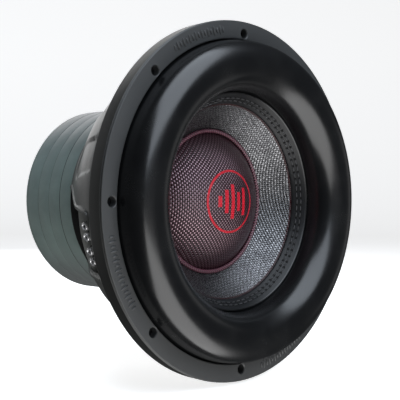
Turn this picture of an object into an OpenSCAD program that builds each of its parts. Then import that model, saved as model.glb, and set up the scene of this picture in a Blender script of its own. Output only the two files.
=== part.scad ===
// Twelve inch car subwoofer driver. Every module is drawn lying face up, with its
// height along the speaker's axis, and facing() then turns the front towards -Y.
// Heights are 0 at the flange's rear face, positive to the front, negative to the motor.

/* [Flange and trim ring] */
// Outside diameter of the trim ring
trim_d = 320; // [316:1:326]
// Height of the trim ring's front face above the mounting plane
trim_h = 15.8; // [14:0.1:18]
// Inside diameter of the trim ring
trim_inner_d = 287; // [286:0.5:290]
// Thickness of the cast flange
flange_t = 7; // [6:0.5:8]
// Bolt circle diameter
bolt_pcd = 298; // [296:0.5:302]
// Number of mounting holes
bolt_count = 8; // [4:1:8]
// Diameter of the holes in the flange
bolt_hole_d = 6.4; // [5:0.1:7]
// Diameter of the holes in the trim ring
trim_hole_d = 8.4; // [8:0.1:9]

/* [Basket] */
// Diameter of the basket just behind the flange
skirt_d = 280; // [278:1:282]
// Wall of the casting
wall = 4.6; // [4:0.1:5]
// Number of arms, and of windows between them
arm_count = 4; // [4:1:4]
// Direction of the window that holds the terminals, in degrees from the right
terminal_angle = 196.1; // [190:0.1:200]
// Half width of a window next to the motor
window_rear_half = 35; // [32:0.5:36]
// Half width of a window next to the skirt
window_front_half = 28; // [26:0.5:30]

/* [Motor] */
// Outside diameter of the magnets and the back plate
magnet_d = 181; // [170:1:184]
// Thickness of one magnet ring
magnet_t = 17; // [15:0.5:18]
// Number of magnet rings
magnet_count = 3; // [3:1:3]
// Distance of the first magnet from the mounting plane
motor_depth = 115.5; // [115:0.5:118]
// Thickness of the back plate
back_plate_t = 20.5; // [18:0.5:22]
// Thickness of the top plate
top_plate_t = 12; // [10:0.5:12]
// Diameter of the vent through the pole
vent_d = 28; // [24:1:32]

/* [Voice coil] */
// Outside diameter of the former
former_d = 76.2; // [76:0.1:76.4]
// Length of the winding
winding_len = 52; // [44:1:52]
// Thickness of each of the two winding layers
winding_t = 1; // [0.8:0.1:1]

/* [Cone, surround and cap] */
// Radius at which the surround leaves the cone
lip_r = 98.4; // [98:0.1:99]
// Radius at which the surround meets the flange
roll_outer_r = 142.5; // [142:0.1:142.8]
// Height of the roll over the line between its two edges
roll_h = 28; // [24:0.5:29]
// Rise of the cone for each millimetre of radius
cone_slope = 1.13; // [1.1:0.01:1.15]
// Radius of the dust cap's rolled edge, at its outside
cap_r = 66.65; // [66:0.05:67]
// Height of the dome's centre
cap_apex = 4.2; // [2:0.1:6]

/* [Push terminals] */
// Outside diameter of a push button
button_d = 7; // [6.4:0.1:7.2]
// Travel of a push button
button_travel = 2.5; // [2:0.1:2.5]

/* [Hidden] */
$fn = 96;

gap = 0.1; // air left between parts that are glued or clamped together
trim_r = trim_d / 2;
trim_inner_r = trim_inner_d / 2;
trim_skin = 3; // the trim ring's wrap around the flange's edge
trim_shelf = 2; // room under the trim ring for the surround's foot
foot_r = 151.5; // outer edge of the surround's foot
flange_r = trim_r - trim_skin - gap;
skirt_r = skirt_d / 2;
magnet_r = magnet_d / 2;
magnet_bore_r = 50;
motor_end = motor_depth + magnet_count * magnet_t + back_plate_t;
edge_break = 0.7; // bevel on the rings of the motor

// The basket's outer profile as [radius, depth behind the mounting plane]
basket_profile = [[skirt_r, 0], [skirt_r - 1, 25], [skirt_r - 6, 42], [skirt_r - 13, 58],
                  [skirt_r - 23, 74], [skirt_r - 36, 93], [magnet_r + 0.5, motor_depth - 2.5],
                  [magnet_r, motor_depth - gap]];
wall_shift = [-wall, -1.2]; // from the outer profile to the inner one
window_front = 38; // depth of the windows' rounded front ends
window_axis = window_front + window_front_half;
relief_front = 29; // the terminals' window is squared off towards the skirt
relief_half = 27.5;
relief_corner = 6;
pocket_depth = 1.4; // depth of the arched pockets in the arms
pocket_half = 15; // half width of a pocket
pocket_spread = 12.5; // angle of each pocket from the middle of its arm
pocket_rear = 92; // depth of the top of a pocket's arch
pocket_front = 30; // depth of its straight end

seat_r = 78; // outside of the ring that holds the top plate
top_plate_r = 66;
top_plate_bore_r = 41;
seat_inner_r = 56;
seat_front = motor_depth - top_plate_t - 5.2;
screw_pcd_r = 61;
screw_count = 6;

ledge_inner_r = 95; // the shelf that the spiders are glued to
ledge_outer_r = 103;
ledge_root_r = skirt_r - 29; // where the ledge ends inside the arms
ledge_depth = 76;
ledge_t = 4;
spider_t = 0.7;
spider_wave = 3.2; // half the height of a corrugation
spider_waves = 4;
spider_flat_r = 45; // end of the flat part at the former
spider_outer_flat_r = 92; // start of the flat part on the ledge
spider_gap = 10.3; // distance between the two spiders

former_r = former_d / 2;
former_t = 0.4;
pole_r = 37;
coil_middle = motor_depth - top_plate_t / 2;
coil_front = coil_middle - winding_len / 2;
coil_end = coil_middle + winding_len / 2;

cap_bead_r = 1.95;
cap_bead_mid = cap_r - cap_bead_r;
cap_bead_h = -24.2;
cap_base_r = 62.5;
cap_t = 1.2;
cap_base_h = -25.2;
// radius of the sphere through the dome's base and its centre
dome_r = (pow(cap_base_r, 2) + pow(cap_apex - cap_base_h, 2)) / 2 / (cap_apex - cap_base_h);

cone_t = 2.2; // the cone's wall, measured along the axis
cone_neck_r = 38.4;
cone_edge_r = 96;
weave_r = 87.8; // edge of the bare cone, where the surround's stitched land begins

roll_steps = 26;
roll_mid = (roll_outer_r + lip_r) / 2;
roll_half = (roll_outer_r - lip_r) / 2;
roll_foot_h = 12.6; // heights of the roll's two edges
roll_lip_h = 10.9;
roll_t = 2.2;

panel_r = 126; // outer face of the terminal panel
panel_t = 3.5;
panel_front = 25.5;
panel_rear = 59;
panel_half_angle = 12.2;
panel_wall_r = 132.4; // top of the wall that closes the panel off under the skirt
post_depth = 43;
post_r = 2.4;
post_inner = 118; // the post's inner end, with its solder pin
pin_inner = 113;
button_r = button_d / 2;
button_bore_r = post_r + 0.15;
button_top = 132.5; // radius of a button's face at rest
button_len = 4.8;
button_cap_t = 1.2;
post_outer = button_top - button_cap_t - button_travel - 0.3;
collar_r = 4.9;
collar_top = 127.2;
collar_floor = collar_top - 3.6; // where the return spring stands
// offsets of the four terminals from the middle of the panel, in degrees
terminal_offsets = [-6.8, -2.7, 2.8, 6.8];
block_len = 22;
block_t = 3;

lead_r = 1;
lead_sides = 8;
lead_fan = 1.2; // how much wider the four leads stand at the coil than at the terminals
// The leads' common route as [radius, height]
lead_route = [[112.2, -43], [107, -38.5], [100, -34.5], [92, -32.2], [83, -32], [74, -34.2],
              [65, -38.8], [57, -45.2], [50.5, -52], [45.2, -58.4], [39.8, -62.6]];
pad_depth = 62.6;

function cone_h(r) = cap_base_h + 0.2 + cone_slope * (r - cap_r); // front face of the cone
function profile_points(shift) = [for (p = basket_profile) [p[0] + shift[0], -p[1] - shift[1]]];
function reversed(list) = [for (i = [len(list) - 1:-1:0]) list[i]];
function power(x, n) = sign(x) * pow(abs(x), n);

// A point of the roll's section, from the flange (0 degrees) to the cone (180 degrees)
function roll_r(t, inset) =
    roll_mid + (roll_half - inset) * power(cos(t), 0.79) + 1.75 * pow(sin(t), 2);
function roll_z(t, inset) =
    roll_lip_h + (roll_foot_h - roll_lip_h) * (roll_r(t, 0) - lip_r) / (2 * roll_half)
    + (roll_h - inset) * pow(sin(t), 0.72);
function roll_line(inset) =
    [for (i = [0:roll_steps]) let (t = 180 * i / roll_steps) [roll_r(t, inset), roll_z(t, inset)]];

// Height of a spider's surface over its mid plane
function spider_wave_h(r) =
    r <= spider_flat_r || r >= spider_outer_flat_r ? 0
    : spider_wave * sin(360 * spider_waves * (r - spider_flat_r) / (spider_outer_flat_r - spider_flat_r));
spider_radii = concat([former_r + gap], [for (i = [0:8 * spider_waves])
    spider_flat_r + i * (spider_outer_flat_r - spider_flat_r) / (8 * spider_waves)], [ledge_outer_r]);

// A ring of rectangular section between two heights, with bevelled outer edges
module ring(r_out, r_in, low, high, bevel = 0) {
    rotate_extrude()
        polygon([[r_in, low], [r_out - bevel, low], [r_out, low + bevel],
                 [r_out, high - bevel], [r_out - bevel, high], [r_in, high]]);
}

module facing() {
    rotate([90, 0, 0]) children();
}

// Places children on a radius of the speaker, their own height pointing outwards
module on_radius(angle, depth) {
    rotate([0, 0, angle]) translate([0, 0, -depth]) rotate([0, 90, 0]) children();
}

module bolt_circle() {
    for (i = [0:bolt_count - 1])
        rotate([0, 0, 90 + i * 360 / bolt_count]) translate([bolt_pcd / 2, 0, 0]) children();
}

// A window's outline: straight sides that close towards the front, with a round front end
module window_outline() {
    polygon([[window_axis, -window_front_half], [motor_depth + 4, -window_rear_half],
             [motor_depth + 4, window_rear_half], [window_axis, window_front_half]]);
    translate([window_axis, 0]) circle(r = window_front_half);
}

// The squared front end of the window that holds the terminals
module relief_outline() {
    corner = relief_front + relief_corner;
    translate([corner, -relief_half]) square([window_axis - corner, 2 * relief_half]);
    translate([relief_front, -relief_half + relief_corner])
        square([window_axis - relief_front, 2 * (relief_half - relief_corner)]);
    for (side = [-1, 1])
        translate([corner, side * (relief_half - relief_corner)]) circle(r = relief_corner);
}

module pocket_outline() {
    translate([pocket_front, -pocket_half])
        square([pocket_rear - pocket_half - pocket_front, 2 * pocket_half]);
    translate([pocket_rear - pocket_half, 0]) circle(r = pocket_half);
}

// Pushes an outline of [depth, width] outwards along a radius of the speaker
module radial_cut(angle, from_r) {
    rotate([0, 0, angle]) translate([from_r, 0, 0]) rotate([0, 90, 0]) linear_extrude(80) children();
}

module arm_pockets() {
    intersection() {
        rotate_extrude()
            polygon(concat(profile_points([-pocket_depth, 0]), reversed(profile_points([6, 0]))));
        for (i = [0:arm_count - 1], side = [-1, 1])
            radial_cut(terminal_angle + (i + 0.5) * 360 / arm_count + side * pocket_spread, 70)
                pocket_outline();
    }
}

module basket_shell() {
    difference() {
        rotate_extrude()
            polygon(concat(profile_points([0, 0]), reversed(profile_points(wall_shift))));
        for (i = [0:arm_count - 1])
            radial_cut(terminal_angle + i * 360 / arm_count, 60) window_outline();
        radial_cut(terminal_angle, 60) relief_outline();
        arm_pockets();
        translate([0, 0, -motor_depth + gap - 20]) cylinder(h = 20, r = magnet_r + 20);
    }
}

module basket() color([0.27, 0.28, 0.25]) facing() {
    difference() {
        union() {
            basket_shell();
            ring(flange_r, skirt_r - wall - 0.5, 0, flange_t, 0.5);
            rotate_extrude() // seat of the top plate, reaching out into the arms
                polygon([[seat_inner_r, -seat_front], [seat_r, -seat_front], [seat_r, -motor_depth + gap],
                         [top_plate_r + gap, -motor_depth + gap],
                         [top_plate_r + gap, -seat_front - 5], [seat_inner_r, -seat_front - 5]]);
            difference() { // the arms' roots on the seat
                rotate_extrude()
                    polygon([[seat_r - 1, -motor_depth + gap], [magnet_r - 1, -motor_depth + gap],
                             [magnet_r - 1, -motor_depth + 6], [magnet_r + 4, -seat_front],
                             [seat_r - 1, -seat_front]]);
                for (i = [0:arm_count - 1])
                    radial_cut(terminal_angle + i * 360 / arm_count, 60) window_outline();
            }
            ring(ledge_outer_r, ledge_inner_r, -ledge_depth - ledge_t, -ledge_depth);
            difference() { // the ledge's joints with the arms
                ring(ledge_root_r, ledge_outer_r - 1, -ledge_depth - ledge_t, -ledge_depth);
                for (i = [0:arm_count - 1])
                    radial_cut(terminal_angle + i * 360 / arm_count, 60) window_outline();
            }
        }
        bolt_circle() translate([0, 0, -5]) cylinder(h = 20, d = bolt_hole_d);
        for (i = [0:screw_count - 1])
            rotate([0, 0, i * 360 / screw_count])
                translate([screw_pcd_r, 0, -motor_depth]) cylinder(h = 30, r = 2.7);
    }
}

module trim_ring() color([0.16, 0.17, 0.18]) facing() {
    difference() {
        rotate_extrude()
            polygon([[trim_inner_r, flange_t + trim_shelf], [foot_r + 0.3, flange_t + trim_shelf],
                     [foot_r + 0.3, flange_t + gap], [flange_r + gap, flange_t + gap],
                     [flange_r + gap, 0.4], [trim_r - 0.5, 0.4], [trim_r, 1], [trim_r, trim_h - 1],
                     [trim_r - 0.3, trim_h - 0.3], [trim_r - 1, trim_h],
                     [trim_inner_r + 0.6, trim_h], [trim_inner_r, trim_h - 0.6]]);
        bolt_circle() cylinder(h = 20, d = trim_hole_d);
    }
}

module surround() color([0.06, 0.06, 0.07]) facing() {
    rotate_extrude()
        polygon(concat(
            [[foot_r, flange_t + gap], [foot_r, flange_t + trim_shelf - gap],
             [roll_outer_r + 0.4, flange_t + trim_shelf - gap], [roll_outer_r, roll_foot_h]],
            roll_line(0),
            [[cone_edge_r + 0.5, 9.6], [93, 6.8], [90.9, 3.9], [88.6, 1.1], [weave_r, -0.5],
             [weave_r + 0.3, cone_h(weave_r + 0.3) + gap], [cone_edge_r + 0.6, cone_h(cone_edge_r + 0.6) + gap]],
            reversed(roll_line(roll_t)),
            [[roll_outer_r - roll_t, flange_t + gap]]));
}

// One sewn row, as the ring of thread that it forms
module stitch_row(r, h) {
    rotate_extrude() translate([r, h]) circle(r = 0.4, $fn = 24);
}

module stitch_row_inner() color([0.03, 0.03, 0.03]) facing() stitch_row(90.6, 4.5);

module stitch_row_outer() color([0.03, 0.03, 0.03]) facing() stitch_row(92.8, 7.4);

module cone() color([0.2, 0.2, 0.21]) facing() {
    rotate_extrude()
        polygon([[cone_neck_r, cone_h(cone_neck_r)], [cone_edge_r, cone_h(cone_edge_r)],
                 [cone_edge_r, cone_h(cone_edge_r) - cone_t],
                 [cone_neck_r, cone_h(cone_neck_r) - cone_t]]);
}

module dust_cap() color([0.35, 0.16, 0.2]) facing() {
    intersection() {
        translate([0, 0, cap_apex - dome_r]) difference() {
            sphere(r = dome_r);
            sphere(r = dome_r - cap_t);
        }
        translate([0, 0, cap_base_h - 0.4]) cylinder(h = 60, r = cap_base_r + 2);
    }
    rotate_extrude() translate([cap_bead_mid, cap_bead_h]) circle(r = cap_bead_r, $fn = 48);
    ring(cap_bead_mid, cap_base_r - 0.6, cap_base_h - 0.4, cap_base_h + 0.6);
}

module cap_glue_bead() color([0.1, 0.09, 0.09]) facing() {
    rotate_extrude()
        polygon([[62.8, cap_base_h - 0.5], [63.9, -26.3], [63.6, cone_h(63.6) + gap],
                 [61.5, cone_h(61.5) + gap]]);
}

module neck_glue_ring() color([0.1, 0.1, 0.1]) facing() {
    neck = cone_h(cone_neck_r) - cone_t;
    rotate_extrude()
        polygon([[cone_neck_r, neck - gap], [cone_neck_r, neck - 1.2],
                 [cone_neck_r + 2.6, neck + 2.6 * cone_slope - gap]]);
}

module voice_coil_former() color([0.12, 0.11, 0.1]) facing() {
    ring(former_r, former_r - former_t, -coil_end - 3, -49);
}

module voice_coil_inner_layer() color([0.62, 0.3, 0.14]) facing() {
    ring(former_r + winding_t, former_r + 0.02, -coil_end, -coil_front);
}

module voice_coil_outer_layer() color([0.68, 0.34, 0.16]) facing() {
    ring(former_r + 2 * winding_t, former_r + winding_t + 0.02, -coil_end, -coil_front);
}

// A corrugated spider whose mid plane is at the given height
module spider(h) {
    rotate_extrude()
        polygon(concat([for (r = spider_radii) [r, h + spider_wave_h(r) + spider_t / 2]],
                       [for (r = reversed(spider_radii)) [r, h + spider_wave_h(r) - spider_t / 2]]));
}

spider_rear_h = -ledge_depth + gap + spider_t / 2;
spider_front_h = spider_rear_h + spider_gap;

module spider_front() color([0.45, 0.36, 0.2]) facing() spider(spider_front_h);

module spider_rear() color([0.45, 0.36, 0.2]) facing() spider(spider_rear_h);

module spider_spacer() color([0.1, 0.1, 0.1]) facing() {
    ring(ledge_outer_r, ledge_inner_r, spider_rear_h + spider_t / 2 + gap,
         spider_front_h - spider_t / 2 - gap);
}

module top_plate() color([0.32, 0.34, 0.34]) facing() {
    difference() {
        ring(top_plate_r, top_plate_bore_r, -motor_depth + gap, -motor_depth + top_plate_t, 0.5);
        for (i = [0:screw_count - 1])
            rotate([0, 0, i * 360 / screw_count])
                translate([screw_pcd_r, 0, -motor_depth + 2]) cylinder(h = 30, r = 2.5);
    }
}

// The magnet ring with the given number, counted from the front
module magnet(i) {
    ring(magnet_r - 0.3, magnet_bore_r, -motor_depth - (i + 1) * magnet_t + gap / 2,
         -motor_depth - i * magnet_t - gap / 2, edge_break);
}

module magnet_front() color([0.32, 0.37, 0.36]) facing() magnet(0);

module magnet_middle() color([0.32, 0.37, 0.36]) facing() magnet(1);

module magnet_rear() color([0.32, 0.37, 0.36]) facing() magnet(2);

module back_plate_and_pole() color([0.32, 0.37, 0.36]) facing() {
    plate_front = -motor_end + back_plate_t - gap / 2;
    difference() {
        union() {
            ring(magnet_r, 0, -motor_end, plate_front, 1.2);
            translate([0, 0, plate_front - 1]) cylinder(h = 1 - plate_front - 100, r = pole_r);
        }
        translate([0, 0, -motor_end - 1]) cylinder(h = motor_end, d = vent_d);
        translate([0, 0, -motor_end - 1]) cylinder(h = 9, r1 = vent_d / 2 + 10, r2 = vent_d / 2 + 1);
        translate([0, 0, -motor_end + 7]) cylinder(h = 3, r = vent_d / 2 + 1);
    }
}

module shorting_ring() color([0.75, 0.75, 0.77]) facing() {
    ring(magnet_bore_r - 0.3, magnet_bore_r - 4, -motor_depth - 2 * magnet_t, -motor_depth - 2);
}

// A round woven screen clamped in the vent's step
module vent_screen() color([0.1, 0.1, 0.1]) facing() {
    translate([0, 0, -motor_end + 8.2]) cylinder(h = 1.2, r = vent_d / 2 + 0.9);
}

module motor_screws() color([0.15, 0.15, 0.16]) facing() {
    for (i = [0:screw_count - 1])
        rotate([0, 0, i * 360 / screw_count]) translate([screw_pcd_r, 0, -seat_front]) {
            difference() {
                translate([0, 0, gap]) cylinder(h = 5, r = 4.2);
                translate([0, 0, 2.5]) cylinder(h = 5, r = 2.3, $fn = 6);
            }
            translate([0, 0, -14]) cylinder(h = 14.5, r = 2.4);
        }
}

// Part of a drum between two angles either side of the terminals' middle
module panel_sector(r_out, r_in, front, rear, half) {
    rotate([0, 0, terminal_angle - half])
        rotate_extrude(angle = 2 * half)
            polygon([[r_in, -rear], [r_out, -rear], [r_out, -front], [r_in, -front]]);
}

module terminal_panel() color([0.13, 0.14, 0.13]) facing() {
    difference() {
        union() {
            panel_sector(panel_r, panel_r - panel_t, panel_front, panel_rear - 4, panel_half_angle);
            panel_sector(panel_r - 1.2, panel_r - panel_t, panel_front, panel_rear, panel_half_angle);
            panel_sector(panel_r - 1.6, panel_r - panel_t, panel_front, panel_rear - 9,
                         panel_half_angle + 4.5);
            panel_sector(panel_wall_r, panel_r - panel_t, panel_front, relief_front - 0.5,
                         panel_half_angle);
        }
        for (a = terminal_offsets) on_radius(terminal_angle + a, post_depth)
            translate([0, 0, panel_r - 10]) cylinder(h = 20, r = collar_r + 0.1);
        for (side = [-1, 1]) on_radius(terminal_angle + side * (panel_half_angle + 2.4), post_depth - 3)
            translate([0, 0, panel_r - 10]) cylinder(h = 20, r = 1.7);
    }
}

module panel_screws() color([0.7, 0.7, 0.72]) facing() {
    for (side = [-1, 1]) on_radius(terminal_angle + side * (panel_half_angle + 2.4), post_depth - 3) {
        translate([0, 0, panel_r - panel_t - 1.9]) difference() {
            cylinder(h = 1.8, r = 3);
            translate([-3, -0.35, -0.1]) cube([6, 0.7, 0.8]);
        }
        translate([0, 0, panel_r - panel_t - 0.2]) cylinder(h = 6.2, r = 1.6);
    }
}

// The black insulator that holds one coil's two terminals
module terminal_block(first) {
    middle = terminal_angle + (terminal_offsets[first] + terminal_offsets[first + 1]) / 2;
    difference() {
        union() {
            on_radius(middle, post_depth)
                translate([-7, -block_len / 2 + 1.2, panel_r - panel_t - block_t - 1.1])
                    cube([14, block_len - 2.4, block_t]);
            for (i = [first, first + 1]) on_radius(terminal_angle + terminal_offsets[i], post_depth)
                translate([0, 0, panel_r - panel_t - 2]) cylinder(h = collar_top - panel_r + panel_t + 2,
                                                                  r = collar_r - 0.3);
        }
        for (i = [first, first + 1]) on_radius(terminal_angle + terminal_offsets[i], post_depth) {
            translate([0, 0, panel_r - 20]) cylinder(h = 40, r = post_r + 0.02);
            translate([0, 0, collar_floor]) cylinder(h = 6, r = button_r + 0.3);
        }
    }
}

module terminal_block_a() color([0.05, 0.05, 0.05]) facing() terminal_block(0);

module terminal_block_b() color([0.05, 0.05, 0.05]) facing() terminal_block(2);

module terminal_post(i) {
    on_radius(terminal_angle + terminal_offsets[i], post_depth) difference() {
        union() {
            translate([0, 0, post_inner]) cylinder(h = post_outer - post_inner, r = post_r);
            translate([0, 0, pin_inner]) cylinder(h = post_inner - pin_inner + 1, r = 1.1);
        }
        translate([0, 0, post_outer - 3]) cylinder(h = 4, r = 1.3);
    }
}

module terminal_post_1() color([0.75, 0.68, 0.5]) facing() terminal_post(0);

module terminal_post_2() color([0.75, 0.68, 0.5]) facing() terminal_post(1);

module terminal_post_3() color([0.75, 0.68, 0.5]) facing() terminal_post(2);

module terminal_post_4() color([0.75, 0.68, 0.5]) facing() terminal_post(3);

// A chromed cap that slides over its post, with a round opening in its face
module terminal_button(i) {
    on_radius(terminal_angle + terminal_offsets[i], post_depth) rotate_extrude()
        polygon([[button_bore_r, button_top - button_len], [button_r, button_top - button_len],
                 [button_r, button_top - 0.8], [button_r - 0.8, button_top], [1.6, button_top],
                 [1.3, button_top - 0.3], [1.3, button_top - button_cap_t],
                 [button_bore_r, button_top - button_cap_t]]);
}

module terminal_button_1() color([0.85, 0.85, 0.86]) facing() terminal_button(0);

module terminal_button_2() color([0.85, 0.85, 0.86]) facing() terminal_button(1);

module terminal_button_3() color([0.85, 0.85, 0.86]) facing() terminal_button(2);

module terminal_button_4() color([0.85, 0.85, 0.86]) facing() terminal_button(3);

// The room of a button's return spring
module terminal_spring(i) {
    on_radius(terminal_angle + terminal_offsets[i], post_depth) difference() {
        translate([0, 0, collar_floor + gap])
            cylinder(h = button_top - button_len - collar_floor - 2 * gap, r = button_r - 0.1);
        translate([0, 0, collar_floor]) cylinder(h = 8, r = button_bore_r + 0.1);
    }
}

module terminal_spring_1() color([0.6, 0.6, 0.62]) facing() terminal_spring(0);

module terminal_spring_2() color([0.6, 0.6, 0.62]) facing() terminal_spring(1);

module terminal_spring_3() color([0.6, 0.6, 0.62]) facing() terminal_spring(2);

module terminal_spring_4() color([0.6, 0.6, 0.62]) facing() terminal_spring(3);

function lead_angle(i, s) = terminal_angle + terminal_offsets[i] * (1 + lead_fan * s);

module lead_pads() color([0.7, 0.7, 0.68]) facing() {
    for (i = [0:3]) on_radius(lead_angle(i, 1), pad_depth)
        translate([-1.4, -1.4, former_r + 0.05]) cube([2.8, 2.8, 0.9]);
}

function unit(v) = v / norm(v);
function lead_point(i, k) =
    let (s = k / (len(lead_route) - 1), a = lead_angle(i, s), p = lead_route[k])
    [p[0] * cos(a), p[0] * sin(a), p[1]];
function lead_way(i, k) =
    unit(lead_point(i, min(k + 1, len(lead_route) - 1)) - lead_point(i, max(k - 1, 0)));
function lead_ring(i, k) =
    let (way = lead_way(i, k), side = unit(cross(way, [0, 0, 1])), top = cross(side, way))
    [for (j = [0:lead_sides - 1]) let (a = j * 360 / lead_sides)
        lead_point(i, k) + lead_r * (cos(a) * side + sin(a) * top)];

// A braided lead, swept as one closed tube along its route
module tinsel_lead(i) {
    last = len(lead_route) - 1;
    points = [for (k = [0:last]) each lead_ring(i, k)];
    sides = [for (k = [0:last - 1], j = [0:lead_sides - 1]) let (n = (j + 1) % lead_sides)
        [k * lead_sides + j, (k + 1) * lead_sides + j, (k + 1) * lead_sides + n, k * lead_sides + n]];
    start = [for (j = [0:lead_sides - 1]) j];
    end = [for (j = [lead_sides - 1:-1:0]) last * lead_sides + j];
    polyhedron(points = points, faces = concat([start, end], sides));
}

module tinsel_lead_1() color([0.62, 0.5, 0.32]) facing() tinsel_lead(0);

module tinsel_lead_2() color([0.62, 0.5, 0.32]) facing() tinsel_lead(1);

module tinsel_lead_3() color([0.62, 0.5, 0.32]) facing() tinsel_lead(2);

module tinsel_lead_4() color([0.62, 0.5, 0.32]) facing() tinsel_lead(3);

basket();
trim_ring();
surround();
stitch_row_inner();
stitch_row_outer();
cone();
dust_cap();
cap_glue_bead();
neck_glue_ring();
voice_coil_former();
voice_coil_inner_layer();
voice_coil_outer_layer();
spider_front();
spider_rear();
spider_spacer();
top_plate();
magnet_front();
magnet_middle();
magnet_rear();
back_plate_and_pole();
shorting_ring();
vent_screen();
motor_screws();
terminal_panel();
panel_screws();
terminal_block_a();
terminal_block_b();
terminal_post_1();
terminal_post_2();
terminal_post_3();
terminal_post_4();
terminal_button_1();
terminal_button_2();
terminal_button_3();
terminal_button_4();
terminal_spring_1();
terminal_spring_2();
terminal_spring_3();
terminal_spring_4();
lead_pads();
tinsel_lead_1();
tinsel_lead_2();
tinsel_lead_3();
tinsel_lead_4();
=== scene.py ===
import math

import bmesh
import bpy
import numpy as np
from mathutils import Matrix, Vector


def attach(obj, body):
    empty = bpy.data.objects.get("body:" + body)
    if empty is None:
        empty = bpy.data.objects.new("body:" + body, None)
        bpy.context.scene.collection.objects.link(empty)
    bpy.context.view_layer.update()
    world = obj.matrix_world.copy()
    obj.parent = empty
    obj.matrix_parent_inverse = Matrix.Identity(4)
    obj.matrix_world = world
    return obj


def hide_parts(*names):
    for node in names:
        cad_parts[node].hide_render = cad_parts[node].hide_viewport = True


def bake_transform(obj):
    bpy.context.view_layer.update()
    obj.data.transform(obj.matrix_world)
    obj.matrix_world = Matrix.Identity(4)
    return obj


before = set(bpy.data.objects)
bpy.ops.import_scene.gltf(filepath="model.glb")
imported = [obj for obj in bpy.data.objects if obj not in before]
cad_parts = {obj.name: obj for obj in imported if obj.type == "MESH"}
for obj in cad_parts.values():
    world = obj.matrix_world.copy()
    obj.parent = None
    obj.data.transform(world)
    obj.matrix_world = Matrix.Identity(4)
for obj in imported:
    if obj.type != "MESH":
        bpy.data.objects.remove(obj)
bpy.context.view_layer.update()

# The speaker faces -Y with its axis on Y. Profiles are lists of (radius, height) in
# millimetres, where height is measured from the flange's rear face towards the front.
mm = 0.001
scene = bpy.context.scene


# small tools

def spot(radius, height, angle=0.0):  # a place on the speaker, in metres
    return (radius * math.cos(angle) * mm, -height * mm, radius * math.sin(angle) * mm)


def meshPiece(name, verts, faces, material, sharp=35, merge=1e-7):
    mesh = bpy.data.meshes.new(name)
    mesh.from_pydata([tuple(v) for v in verts], [], faces)
    work = bmesh.new()
    work.from_mesh(mesh)
    bmesh.ops.remove_doubles(work, verts=work.verts, dist=merge)
    bmesh.ops.dissolve_degenerate(work, edges=work.edges, dist=1e-8)
    bmesh.ops.recalc_face_normals(work, faces=work.faces)
    work.to_mesh(mesh)
    work.free()
    mesh.shade_smooth()
    mesh.set_sharp_from_angle(angle=math.radians(sharp))
    mesh.materials.append(material)
    piece = bpy.data.objects.new(name, mesh)
    scene.collection.objects.link(piece)
    return piece


def gridFaces(rows, columns, closedRows=True, closedColumns=True, first=0):
    faces = []
    for i in range(rows if closedRows else rows - 1):
        for j in range(columns if closedColumns else columns - 1):
            a, b = i * columns, (i + 1) % rows * columns
            c = (j + 1) % columns
            faces.append((first + a + j, first + a + c, first + b + c, first + b + j))
    return faces


def rounded(corners, steps=5):  # corners are (radius, height) or (radius, height, fillet)
    points = []
    for i, corner in enumerate(corners):
        here = np.array(corner[:2], float)
        if len(corner) < 3 or corner[2] <= 0:
            points.append(tuple(here))
            continue
        before = np.array(corners[i - 1][:2], float) - here
        after = np.array(corners[(i + 1) % len(corners)][:2], float) - here
        before, after = before / np.linalg.norm(before), after / np.linalg.norm(after)
        half = math.acos(float(np.clip(before @ after, -1, 1))) / 2
        reach = corner[2] / math.tan(half)
        start, end = here + before * reach, here + after * reach
        middle = here + (before + after) / np.linalg.norm(before + after) * corner[2] / math.sin(half)
        turn0 = math.atan2(*(start - middle)[::-1])
        turn1 = math.atan2(*(end - middle)[::-1])
        sweep = (turn1 - turn0 + math.pi) % (2 * math.pi) - math.pi
        for k in range(steps + 1):
            t = turn0 + sweep * k / steps
            points.append((middle[0] + corner[2] * math.cos(t), middle[1] + corner[2] * math.sin(t)))
    return points


def smoothLine(points, count):  # an even run of points on a curve through the given ones
    points = np.array(points, float)
    ends = np.vstack([2 * points[0] - points[1], points, 2 * points[-1] - points[-2]])
    lengths = np.concatenate([[0], np.cumsum(np.linalg.norm(np.diff(points, axis=0), axis=1))])
    out = []
    for s in np.linspace(0, lengths[-1], count):
        i = min(int(np.searchsorted(lengths, s, side="right")) - 1, len(points) - 2)
        t = (s - lengths[i]) / (lengths[i + 1] - lengths[i])
        a, b, c, d = ends[i], ends[i + 1], ends[i + 2], ends[i + 3]
        out.append(0.5 * (2 * b + (c - a) * t + (2 * a - 5 * b + 4 * c - d) * t ** 2
                          + (3 * b - a - 3 * c + d) * t ** 3))
    return np.array(out)


def ringPoints(profile, segments, start=0.0, end=2 * math.pi):
    whole = end - start > 6.28
    angles = np.linspace(start, end, segments, endpoint=not whole)
    profile = np.array(profile, float)
    x = np.outer(np.cos(angles), profile[:, 0])
    z = np.outer(np.sin(angles), profile[:, 0])
    y = np.tile(-profile[:, 1], (segments, 1))
    return np.stack([x, y, z], -1).reshape(-1, 3) * mm


def turned(name, profile, material, segments=256, sharp=35, start=0.0, end=2 * math.pi):
    count = len(profile)
    whole = end - start > 6.28
    faces = gridFaces(segments, count, closedRows=whole)
    if not whole:
        faces += [tuple(range(count)), tuple(range((segments - 1) * count, segments * count))]
    return meshPiece(name, ringPoints(profile, segments, start, end), faces, material, sharp)


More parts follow.
